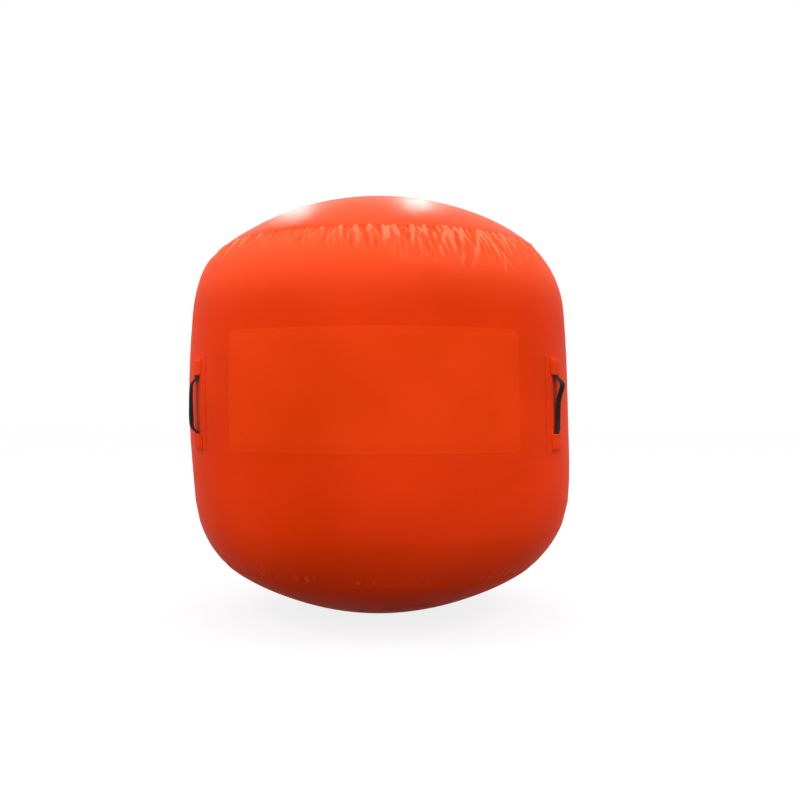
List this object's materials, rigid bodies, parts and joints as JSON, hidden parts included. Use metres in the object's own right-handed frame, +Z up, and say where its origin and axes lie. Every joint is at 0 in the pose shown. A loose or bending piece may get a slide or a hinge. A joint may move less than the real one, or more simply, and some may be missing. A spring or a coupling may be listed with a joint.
{
  "type": "inflatable marker buoy",
  "caption": "Inflatable cylindrical race mark with domed ends, webbing grab handles, a deck valve on top and a mooring ring underneath.",
  "frame": {"origin": "on the floor under the middle of the mark, where its foot stands", "axes": "+Z up along the mark's own axis, -Y towards the blank name panel, +X to the viewer's right"},
  "size_m": [0.9, 0.9194, 0.9908],
  "materials": {
    "pvc_skin": "glossy coated fabric, safety orange red",
    "webbing": "woven webbing, black",
    "valve_plastic": "moulded, satin",
    "valve_rubber": "soft",
    "stainless": "polished wire"
  },
  "bodies": {
    "hull": {"barrel_panel": "pvc_skin", "barrel_seam_tape": "pvc_skin", "top_disc": "pvc_skin", "bottom_disc": "pvc_skin", "name_panel": "pvc_skin", "handle_patch_right": "pvc_skin", "handle_patch_left": "pvc_skin", "handle_patch_back": "pvc_skin", "valve_patch": "pvc_skin", "mooring_patch": "pvc_skin", "handle_pad_right_upper": "pvc_skin", "handle_pad_right_lower": "pvc_skin", "handle_pad_left_upper": "pvc_skin", "handle_pad_left_lower": "pvc_skin", "handle_pad_back_upper": "pvc_skin", "handle_pad_back_lower": "pvc_skin", "handle_strap_right": "webbing", "handle_strap_left": "webbing", "handle_strap_back": "webbing", "mooring_tab": "webbing", "valve_base": "valve_plastic", "valve_stopper": "valve_plastic", "valve_flap": "valve_rubber"},
    "cap": {"valve_cap": "valve_plastic"},
    "ring": {"mooring_ring": "stainless"}
  },
  "joints": [
    {"name": "mooring_ring_swing", "type": "hinge", "parent": "hull", "child": "ring", "pos_m": [0, 0, 0.0061], "axis": [0, 1, 0], "range_deg": [0, 180]},
    {"name": "valve_cap_lift", "type": "slide", "parent": "hull", "child": "cap", "axis": [0, 0, 1], "range_m": [0, 0.12]}
  ]
}
